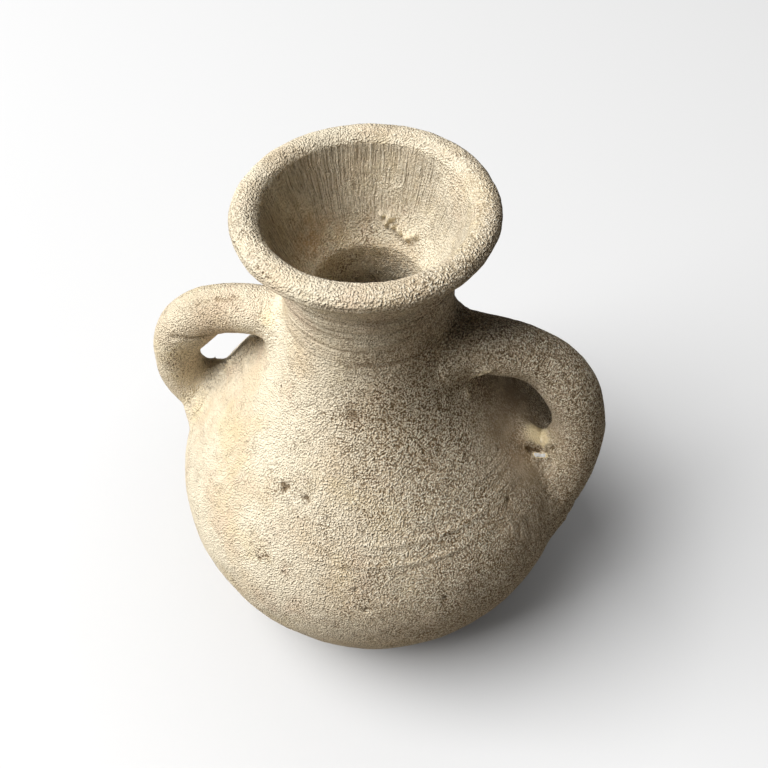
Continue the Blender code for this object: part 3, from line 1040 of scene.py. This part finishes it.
def over_patches(points, patches, share):
    """A share at points, raised to each patch's own share inside it."""
    for patch in patches:
        share = np.maximum(share, patch["share"] * bell(from_place(points, patch["place"]), patch["width"]))
    return share


def ragged(points):
    """Uneven share, between about 0 and 2, for marks with torn edges."""
    return 1.0 + noise_at(points, TEAR_WAVES)


def potter_marks(points):
    """Rise of the potter's marks at points on the pot and its handles, and their darkening: soil and dark
    specks, painted shade in pits and creases and under the rim and handle, and paler tops, partly painted
    light, on raised lumps and tears.
    """
    rise, soil_and_shade, pale, crease_shade = np.zeros((4, len(points)))
    degrees = np.degrees(np.arctan2(points[:, 1], points[:, 0]))
    outside = np.abs(wall_distance(points)) < SHOWN_STEP
    for ridge in THROWN_RIDGES:
        first, last = ridge["turn"]
        along = np.clip(np.minimum(degrees - first, last - degrees) / RIDGE_FADE, 0.0, 1.0) * outside
        off = (points[:, 2] - ridge["height"]) / RIDGE_WIDTH
        rise += ridge["rise"] * along * (bell(off, 1.0) - GROOVE_SHARE * bell(off + GROOVE_OFFSET, 1.0))
    holes = [(place, PINHOLE_WIDTH, PINHOLE_DEPTH) for place in RIM_PINHOLES]
    for turn, height in BELLY_PITS:
        angle, radius = math.radians(turn), outer_radius(height)
        place = (radius * math.cos(angle), radius * math.sin(angle), height)
        holes.append((place, PIT_WIDTH, PIT_DEPTH))
    # Pits and pinholes are darkened as well, partly as painted shade in them
    for place, width, depth in holes:
        hole = bell(from_place(points, place), width)
        rise -= depth * hole
        soil_and_shade += hole
    strokes = [(crease["line"], CREASE_WIDTH, -crease["depth"], crease["soil_and_shade"]) for crease in CREASES]
    strokes += [(tear["line"], TEAR_WIDTH, tear["rise"], -tear["pale"]) for tear in TEARS]
    # Each stroke's grime: in creases the darkening is painted shade, which also takes paleness out of them;
    # on tears it is negative and pales them
    for line, width, height, grime in strokes:
        away = np.min([from_stroke(points, *ends) for ends in zip(line, line[1:])], axis=0)
        near = np.flatnonzero(away < STROKE_REACH * width)
        stroke = bell(away[near], width)
        rise[near] += height * stroke * ragged(points[near])
        soil_and_shade[near] += max(grime, 0.0) * stroke
        crease_shade[near] += max(grime, 0.0) * stroke
        pale[near] += max(-grime, 0.0) * stroke
    for patch in SOIL_AND_SHADE_PATCHES:
        soil_and_shade += patch["share"] * bell(from_place(points, patch["place"]), patch["width"])
    for lump in LUMPS:
        swell = bell(from_place(points, lump["place"]), lump["width"])
        rise += lump["rise"] * swell
        pale += lump["pale"] * swell
    chip = bell(from_stroke(points, *CHIP), CHIP_WIDTH, CHIP_FLATNESS)
    pale *= np.clip(1.0 - CREASE_SHADE_SHARE * crease_shade, 0.0, 1.0)
    return rise + CHIP_RISE * chip, soil_and_shade - pale - CHIP_PALE * chip


def mark_clay(thing):
    """Keeps on a piece the marks of its making, where its clay was worked or stained, and how much painted
    shade it takes on the side away from the lamp.
    """
    mesh = thing.data
    points, outward = mesh_points(mesh), mesh_vectors(mesh, "outward")
    rise, soil_and_shade = potter_marks(points)
    none = np.zeros(len(points))
    brush = mesh_values(mesh, "brush") * np.clip(BRUSH_MIDDLE - points[:, 0] / BRUSH_FADE, BRUSH_LEAST, 1.0)
    brush = over_patches(points, DRAGGED, brush)
    rows = np.flatnonzero(brush > BRUSH_TRACE)
    brush[rows] *= np.clip(BREAK_MIDDLE + noise_at(points[rows], BREAK_WAVES), BREAK_LEAST, 1.0)
    # Painted shade: a share that grows towards +x and where faces turn that way, the side away from the lamp.
    # It darkens the clay and its hollows and pales its grain tops there
    facing = PAINTED_SHADE_BY_PLACE * points[:, 0] / PAINTED_SHADE_REACH + (1 - PAINTED_SHADE_BY_PLACE) * outward[:, 0]
    share = np.interp(facing, PAINTED_SHADE_FACING, (0.0, 1.0))
    kept = {
        "mark": rise,
        "soil_and_shade": soil_and_shade,
        "brush": brush,
        "smooth": over_patches(points, SMOOTHED, none),
        "stain": over_patches(points, STAINED, none),
        "painted_shade": share * share * (3 - 2 * share),
        "wipe": over_patches(points, WIPED, mesh_values(mesh, "wipe")),
    }
    for label, rows in kept.items():
        keep_values(mesh, label, rows)


# Clay's colours, and the relief and pits of its grain
CHALK = (0.95, 0.87, 0.70)
UMBER = (0.46, 0.345, 0.225)
EARTH = (0.27, 0.195, 0.125)
ROSE = (0.84, 0.64, 0.47)
OCHRE = (0.80, 0.65, 0.36)
RUST = (0.60, 0.38, 0.20)
CREAM = (0.94, 0.79, 0.50)
WHITE = (0.97, 0.96, 0.94)
CLAY_ROUGHNESS, CLAY_SHINE = 0.95, 0.2
GRAIN_CELL = 0.00030
GRAIN_RELIEF = 0.00120
WIPE_RELIEF = 0.00100
BRUSH_RELIEF = 0.00180
PIT_RELIEF = -0.00060
PIT_CELL = 0.0026
PIT_RADIUS = 0.13
PIT_CHANCE = 0.80

# Patches in the clay: their size and texture, and the levels of it where they begin and are full
PATCHES = {
    "warm": {"size": 0.0140, "detail": 4.0, "roughness": 0.60, "levels": (0.42, 0.68)},
    "rose": {"size": 0.0090, "detail": 3.0, "roughness": 0.60, "levels": (0.52, 0.70)},
    "ochre": {"size": 0.0110, "detail": 3.0, "roughness": 0.60, "levels": (0.50, 0.30)},
    "earth": {"size": 0.0050, "detail": 3.0, "roughness": 0.60, "levels": (0.30, 0.55)},
    "rust": {"size": 0.0030, "detail": 4.0, "roughness": 0.65, "levels": (0.35, 0.60)},
    "grime": {"size": 0.0080, "detail": 6.0, "roughness": 0.70, "levels": (0.54, 0.76)},
    "clusters": {"size": 0.0046, "detail": 3.0, "roughness": 0.65, "levels": (0.47, 0.64)},
}

# Parts of the sand, and how far each way of working calms it
SAND_CELLS, SAND_FINE, SAND_COARSE = 0.28, 0.56, 0.16
SAND_CELL_DENSITY, SAND_COARSENESS, SAND_MIDDLE = 0.8, 3.4, 0.5
SAND_FINE_DETAIL, SAND_FINE_ROUGHNESS = 1.5, 0.50
SAND_COARSE_DETAIL, SAND_COARSE_ROUGHNESS = 2.0, 0.55
CALMED = {"brush": 0.65, "wipe": 0.25, "smear": 0.10, "smooth": 0.90}
CALMED_MOST = 0.95

# Levels between which the grain and the worked lines take a tint, and the most that each tint covers
HOLLOW_LEVELS, TOP_LEVELS = (0.52, 0.40), (0.53, 0.60)
LINE_DARK, LINE_PALE, WIPE_DARK = (0.02, -0.14), (0.03, 0.16), (0.0, -0.22)
SOIL_AND_SHADE_IN_HOLLOWS, SOIL_AND_SHADE_OVER_ALL = (0.0, 0.6), (0.4, 1.0)
CREAM_LEVELS, WHITE_LEVELS = (-0.2, -0.8), (-1.0, -1.6)
COVERS = {
    "hollows": 0.06,
    "hollows in clusters": 0.45,
    "hollows in painted shade": 0.80,
    "hollows soiled and shaded": 0.55,
    "tops": 0.10,
    "tops in painted shade": 1.10,
    "rose": 0.45,
    "ochre": 0.40,
    "umber in painted shade": 0.68,
    "umber brushed": 0.14,
    "earth": 0.75,
    "grime": 0.32,
    "grime in painted shade": 0.36,
    "lines dark": 0.66,
    "lines pale": 0.55,
    "wipes dark": 0.52,
    "pits": 0.85,
    "soil_and_shade": 0.85,
}


def clay_material(name, pale, warm, dark):
    """Sandy fired clay: an even grain, warm patches, grime and painted shade in its hollows, painted light on
    its grain tops, painted shade towards the side away from the lamp, and a few dark pits, partly painted
    shade.
    """
    material = bpy.data.materials.new(name)
    material.use_nodes = True
    tree = material.node_tree
    shader = tree.nodes["Principled BSDF"]
    shader.inputs["Roughness"].default_value = CLAY_ROUGHNESS
    shader.inputs["Specular IOR Level"].default_value = CLAY_SHINE
    spot = add(tree, "ShaderNodeTexCoord").outputs["Object"]

    def texture(size, detail, roughness):
        """Noise with features of a size, from 0 to 1."""
        inputs = {"Vector": spot, "Scale": 1 / size, "Detail": detail, "Roughness": roughness}
        return add(tree, "ShaderNodeTexNoise", inputs).outputs[0]

    def cells(density):
        """Outputs of a pattern of cells."""
        return add(tree, "ShaderNodeTexVoronoi", {"Vector": spot, "Scale": density}).outputs

    def stepped(value, levels):
        """Share that goes smoothly from 0 to 1 between two levels of a value."""
        inputs = {"Value": value, "From Min": levels[0], "From Max": levels[1]}
        return add(tree, "ShaderNodeMapRange", inputs, interpolation_type="SMOOTHSTEP").outputs[0]

    def patch(label):
        """Share of one kind of patch."""
        given = PATCHES[label]
        return stepped(texture(given["size"], given["detail"], given["roughness"]), given["levels"])

    def times(*values):
        """Product of values."""
        return functools.reduce(lambda first, second: calc(tree, "MULTIPLY", first, second), values)

    def total(*values):
        """Sum of values."""
        return functools.reduce(lambda first, second: calc(tree, "ADD", first, second), values)

    def covered(share, label):
        """A share of the most that a tint covers."""
        return calc(tree, "MULTIPLY", share, COVERS[label])

    def mixed(share, first, second):
        """The first colour, with a share of it covered by the second."""
        node = add(tree, "ShaderNodeMix", {0: share}, data_type="RGBA")
        for socket, value in zip((node.inputs[6], node.inputs[7]), (first, second)):
            if isinstance(value, bpy.types.NodeSocket):
                tree.links.new(value, socket)
            else:
                socket.default_value = (*value, 1.0)
        return node.outputs[2]

    def held(label):
        """A value that the clay's points carry."""
        return add(tree, "ShaderNodeAttribute", attribute_name=label).outputs["Fac"]

    coarse_cell = GRAIN_CELL * SAND_COARSENESS
    sand = total(
        times(calc(tree, "SUBTRACT", 1.0, cells(SAND_CELL_DENSITY / GRAIN_CELL)["Distance"]), SAND_CELLS),
        times(texture(GRAIN_CELL, SAND_FINE_DETAIL, SAND_FINE_ROUGHNESS), SAND_FINE),
        times(texture(coarse_cell, SAND_COARSE_DETAIL, SAND_COARSE_ROUGHNESS), SAND_COARSE),
    )
    calm = total(*(times(held(label), share) for label, share in CALMED.items()))
    rough = calc(tree, "SUBTRACT", 1.0, calc(tree, "MINIMUM", calm, CALMED_MOST))
    painted_shade, soil_and_shade = held("painted_shade"), held("soil_and_shade")
    wiped = times(wipe_lines(tree, spot), held("wipe"))
    brushed = times(brush_lines(tree, spot), held("brush"))
    # Pits, their dark tint partly painted shade in their hollows
    pit_cells = cells(1 / PIT_CELL)
    chance = add(tree, "ShaderNodeSeparateColor", {0: pit_cells["Color"]}).outputs[0]
    pits = times(
        stepped(pit_cells["Distance"], (PIT_RADIUS, PIT_RADIUS / 2)),
        stepped(chance, (PIT_CHANCE, 1.0)),
    )
    # Dark tint in the sand's hollows: partly grime and dark specks, partly painted shade in the grain's
    # recesses
    hollow_grime_and_shade = total(
        COVERS["hollows"],
        covered(patch("clusters"), "hollows in clusters"),
        covered(painted_shade, "hollows in painted shade"),
        covered(stepped(soil_and_shade, SOIL_AND_SHADE_IN_HOLLOWS), "hollows soiled and shaded"),
    )
    # Pale tint on the sand's tops: painted light on the grain, most on the side in painted shade
    painted_top_light = total(COVERS["tops"], covered(painted_shade, "tops in painted shade"))
    # Grime patches: real grime, deepened on the side in painted shade
    grime_and_painted_shade = total(COVERS["grime"], covered(painted_shade, "grime in painted shade"))
    layers = (
        (patch("warm"), warm),
        (covered(patch("rose"), "rose"), ROSE),
        (covered(patch("ochre"), "ochre"), OCHRE),
        (total(covered(painted_shade, "umber in painted shade"), covered(held("brush"), "umber brushed")), UMBER),
        (covered(times(held("smooth"), patch("earth")), "earth"), EARTH),
        (times(held("stain"), patch("rust")), RUST),
        (times(patch("grime"), grime_and_painted_shade), dark),
        (times(stepped(sand, HOLLOW_LEVELS), hollow_grime_and_shade, rough), dark),
        (times(stepped(sand, TOP_LEVELS), painted_top_light, rough), CHALK),
        (covered(stepped(brushed, LINE_DARK), "lines dark"), dark),
        (covered(stepped(brushed, LINE_PALE), "lines pale"), CHALK),
        (covered(stepped(wiped, WIPE_DARK), "wipes dark"), dark),
        (covered(pits, "pits"), dark),
        (covered(stepped(soil_and_shade, SOIL_AND_SHADE_OVER_ALL), "soil_and_shade"), dark),
        (stepped(soil_and_shade, CREAM_LEVELS), CREAM),
        (stepped(soil_and_shade, WHITE_LEVELS), WHITE),
    )
    colour = pale
    for share, tint in layers:
        colour = mixed(share, colour, tint)
    tree.links.new(colour, shader.inputs["Base Color"])
    height = total(
        times(calc(tree, "SUBTRACT", sand, SAND_MIDDLE), rough, GRAIN_RELIEF),
        times(wiped, WIPE_RELIEF),
        times(brushed, BRUSH_RELIEF),
        times(pits, PIT_RELIEF),
    )
    bump = add(tree, "ShaderNodeBump", {"Height": height, "Strength": 1.0, "Distance": 1.0})
    tree.links.new(bump.outputs[0], shader.inputs["Normal"])
    return material


# Each clay's pale ground, warm patches, and dark tint for grime, hollows and painted shade
CLAY_COLOURS = {
    "body_clay": ((0.90, 0.80, 0.61), (0.80, 0.66, 0.46), (0.18, 0.120, 0.062)),
    "rim_clay": ((0.91, 0.82, 0.63), (0.82, 0.68, 0.48), (0.18, 0.125, 0.068)),
    "handle_clay": ((0.84, 0.73, 0.54), (0.70, 0.56, 0.39), (0.16, 0.105, 0.054)),
    "luting_clay": ((0.88, 0.77, 0.58), (0.74, 0.60, 0.42), (0.17, 0.115, 0.058)),
}
CLAYS = {name: clay_material(name, *colours) for name, colours in CLAY_COLOURS.items()}

# Finished pieces, how near the points lie that they share, and the corners of a face that is no filled end
PIECES = []
JOIN_DISTANCE = 5e-6
QUAD = 4

# Rings that the handles are luted to, and where the pot was wiped, brushed and thumbed
ROOT_RINGS = ("lower_bowl", "shoulder", "neck", "mouth_collar")
WIPE_START = WAIST_HEIGHT - 0.012
BRUSH_START, BRUSH_FULL = THROAT_SEAM + 0.0010, THROAT_SEAM + 0.0085
THROAT_THUMBING = 0.4
LIP_WIPING = 0.7


def shown_corners(mesh):
    """Point, face and shown flag of each face corner of a mesh, with the face normals."""
    corner_points = read_rows(mesh.loops, "vertex_index", kind=int)
    sides = read_rows(mesh.polygons, "loop_total", kind=int)
    normals = read_rows(mesh.polygons, "normal", 3)
    corner_faces = np.repeat(np.arange(len(sides)), sides)
    bare = mesh_values(mesh, "skin")[corner_points] < LEAST_SKIN
    hidden = np.bincount(corner_faces, weights=bare, minlength=len(sides)) > 0
    hidden |= sides > QUAD
    return corner_points, corner_faces, ~hidden[corner_faces], normals


def join_shading(things):
    """Gives the points that pieces share at their seams one shading normal, so that no seam shows."""
    found = []
    for thing in things:
        mesh = thing.data
        points, faces, shown, normals = shown_corners(mesh)
        count = len(mesh.vertices)
        sums = np.zeros((count, 3))
        np.add.at(sums, points[shown], normals[faces[shown]])
        edge = np.flatnonzero(np.bincount(points, shown, count) * np.bincount(points, ~shown, count))
        found.append((mesh, points, shown, edge, mesh_points(mesh), sums))
    tree = KDTree(sum(len(edge) for _, _, _, edge, _, _ in found))
    pool = np.vstack([sums[edge] for _, _, _, edge, _, sums in found])
    places = np.vstack([spots[edge] for _, _, _, edge, spots, _ in found])
    for index, place in enumerate(places):
        tree.insert(place, index)
    tree.balance()
    for mesh, points, shown, edge, spots, _ in found:
        shared = np.zeros((len(spots), 3))
        for row in edge:
            match = [index for _, index, _ in tree.find_range(spots[row], JOIN_DISTANCE)]
            if len(match) > 1:
                shared[row] = pool[match].sum(axis=0)
        length = np.linalg.norm(shared, axis=1, keepdims=True)
        shared = np.divide(shared, length, out=np.zeros_like(shared), where=length > 0)
        mesh.normals_split_custom_set(shared[points] * shown[:, None])


def finish_piece(thing, node, clay):
    """Marks and skins a piece, gives it its clay and lets it stand for its solid."""
    PIECES.append(thing)
    mark_clay(thing)
    run_tree(thing, SANDY_SKIN, {"Material": CLAYS[clay]})
    closed_outwards(thing.data)
    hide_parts(node)
    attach(thing, "root")


def outside_edge(height):
    """Point of the outside at a height."""
    return outer_radius(height), height


def inside_edge(height):
    """Point of the inside at a height."""
    return np.interp(-height, -INNER[:, 1], INNER[:, 0]), height


def rising(height, start, full):
    """Share that grows from 0 at one height to 1 at another."""
    return float(np.clip((height - start) / (full - start), 0.0, 1.0))


def wiping_at(height):
    """Share of wiping on the neck, which begins below the waist and is full there."""
    return rising(height, WIPE_START, WAIST_HEIGHT)


def brushing_at(height):
    """Share of brushing in the funnel, which begins above the throat."""
    return rising(height, BRUSH_START, BRUSH_FULL)


def thumbing_at(height):
    """Share of thumbing at the foot of the funnel, where it isn't brushed."""
    return THROAT_THUMBING * (1.0 - brushing_at(height))


def ring_runs(low, high, inner_step, outside, inside):
    """Runs of a ring between two seams: up its outside, over its top, down its inside and under it."""
    return [
        between(OUTSIDE, low, high, SHOWN_STEP, **outside),
        across(outside_edge(high), inside_edge(high)),
        between(INNER, low, high, inner_step, **inside),
        across(inside_edge(low), outside_edge(low)),
    ]


def base_runs():
    """Runs of the base: under it, up its edge, and over the pot's floor."""
    return [
        Run(np.array([(0.0, 0.0), (BASE_RADIUS, 0.0)]), HIDDEN_STEP, skin=0.0),
        between(OUTSIDE, 0.0, FLOOR, SHOWN_STEP),
        across(outside_edge(FLOOR), inside_edge(FLOOR)),
        Run(np.array([inside_edge(FLOOR), (0.0, FLOOR)]), HIDDEN_STEP),
    ]


def lip_runs():
    """Runs of the rim: round its roll, down the top of the funnel, and under it."""
    return [
        Run(lip_line(), SHOWN_STEP, wipe=LIP_WIPING),
        between(INNER, RIM_SEAM, FUNNEL_EDGE_HEIGHT, SHOWN_STEP, brush=1.0),
        across(inside_edge(RIM_SEAM), outside_edge(RIM_SEAM)),
    ]


def make_pot():
    """The six rings of the pot, from the floor to the rim."""
    neck_inside, funnel = {"smear": THROAT_THUMBING}, {"brush": brushing_at, "smear": thumbing_at}
    rings = {
        "base_disc": ("clay_base", "body_clay", base_runs()),
        "lower_bowl": ("clay_lower_bowl", "body_clay", ring_runs(FLOOR, BELLY_HEIGHT, HIDDEN_STEP, {}, {})),
        "shoulder": ("clay_shoulder", "body_clay", ring_runs(BELLY_HEIGHT, NECK_SEAM, HIDDEN_STEP, {}, {})),
        "neck": (
            "clay_neck",
            "body_clay",
            ring_runs(NECK_SEAM, THROAT_SEAM, SHOWN_STEP, {"wipe": wiping_at}, neck_inside),
        ),
        "mouth_collar": (
            "clay_mouth_collar",
            "rim_clay",
            ring_runs(THROAT_SEAM, RIM_SEAM, SHOWN_STEP, {"wipe": 1.0}, funnel),
        ),
        "rim_roll": ("clay_rim_roll", "rim_clay", lip_runs()),
    }
    for node, (name, clay, runs) in rings.items():
        thing = turned_piece(name, runs)
        if node in ROOT_RINGS:
            swell_roots(thing)
        finish_piece(thing, node, clay)


def make_handles():
    """Both handles, with the clay smeared round their roots."""
    for side in SIDES:
        thing = rolled_handle(f"clay_handle_{side}", side)
        reach_handle_roots(thing, side)
        finish_piece(thing, f"handle_{side}", "handle_clay")
        for end in ("upper", "lower"):
            wad = luting_wad(f"clay_{end}_wad_{side}", side, end == "upper")
            finish_piece(wad, f"{end}_wad_{side}", "luting_clay")


# Floor, light and camera
CAMERA_PLACE = Vector((0.0346, -0.1168, 0.2030))
CAMERA_AIM = Vector((0.0021, 0.0006, 0.0544))
CAMERA_ROLL = math.radians(-1.61)
CAMERA_SENSOR = 36.0
CAMERA_LENS = 46.875
CAMERA_NEAR = 0.005
FLOOR_SIZE = 1.6
FLOOR_BOUNCE = (0.29, 0.26, 0.22)
FLOOR_SEEN = (0.535, 0.535, 0.535)
FLOOR_GLOW = 0.20
FLOOR_SHADE_REACH = 0.045
FLOOR_SHADE_POWER = 1.6
BACKDROP_SEEN = 0.86
KEY_WAY = Vector((-0.55, -0.26, 0.825))
KEY_DISTANCE = 1.50
KEY_SIZE = 1.20
KEY_POWER = 45.8
FILL_LEVEL = 0.015


def seen_by_eye(tree):
    """1 where the camera sees a surface, straight or in a reflection, and 0 where it only gives light."""
    path = add(tree, "ShaderNodeLightPath").outputs
    seen = calc(tree, "MAXIMUM", path["Is Camera Ray"], path["Is Glossy Ray"])
    return calc(tree, "MAXIMUM", seen, path["Is Transmission Ray"])


def make_floor():
    """Plain pale floor, which darkens under the pot and throws less light on it than it shows."""
    bpy.ops.mesh.primitive_plane_add(size=FLOOR_SIZE)
    floor = bpy.context.object
    floor.name = "floor"
    material = bpy.data.materials.new("pale_floor")
    material.use_nodes = True
    tree = material.node_tree
    seen = seen_by_eye(tree)
    bounce = add(tree, "ShaderNodeBsdfDiffuse", {"Color": (*FLOOR_BOUNCE, 1.0)}).outputs[0]
    paper = add(tree, "ShaderNodeBsdfDiffuse", {"Color": (*FLOOR_SEEN, 1.0)}).outputs[0]
    open_sky = add(tree, "ShaderNodeAmbientOcclusion", {"Distance": FLOOR_SHADE_REACH}).outputs["AO"]
    sky = calc(tree, "MULTIPLY", calc(tree, "POWER", open_sky, FLOOR_SHADE_POWER), FLOOR_GLOW)
    glow = add(tree, "ShaderNodeEmission", {"Strength": sky}).outputs[0]
    shown = add(tree, "ShaderNodeAddShader", {0: paper, 1: glow}).outputs[0]
    surface = add(tree, "ShaderNodeMixShader", {0: seen, 1: bounce, 2: shown}).outputs[0]
    tree.links.new(surface, tree.nodes["Material Output"].inputs["Surface"])
    floor.data.materials.append(material)


def make_light():
    """One broad soft lamp at the left and a weak even fill, with a pale backdrop where it is seen."""
    lamp = bpy.data.lights.new("key", "AREA")
    lamp.energy = KEY_POWER
    lamp.size = KEY_SIZE
    key = new_object("key", lamp)
    key.location = KEY_WAY.normalized() * KEY_DISTANCE
    key.rotation_euler = KEY_WAY.to_track_quat("Z", "Y").to_euler()
    world = bpy.data.worlds.new("fill")
    world.use_nodes = True
    tree = world.node_tree
    backdrop = tree.nodes["Background"]
    backdrop.inputs["Color"].default_value = (1.0, 1.0, 1.0, 1.0)
    gain = calc(tree, "MULTIPLY", seen_by_eye(tree), BACKDROP_SEEN - FILL_LEVEL)
    tree.links.new(calc(tree, "ADD", gain, FILL_LEVEL), backdrop.inputs["Strength"])
    bpy.context.scene.world = world


def make_camera():
    """Camera at the photograph's viewing angle."""
    lens = bpy.data.cameras.new("view")
    lens.sensor_width = CAMERA_SENSOR
    lens.lens = CAMERA_LENS
    lens.clip_start = CAMERA_NEAR
    camera = new_object("view", lens)
    aim = (CAMERA_AIM - CAMERA_PLACE).to_track_quat("-Z", "Y").to_matrix().to_4x4()
    camera.matrix_world = aim @ Matrix.Rotation(CAMERA_ROLL, 4, "Z")
    camera.location = CAMERA_PLACE
    bpy.context.scene.camera = camera


make_camera()
make_floor()
make_light()
make_pot()
make_handles()
join_shading(PIECES)
bpy.context.scene.view_settings.view_transform = "Standard"
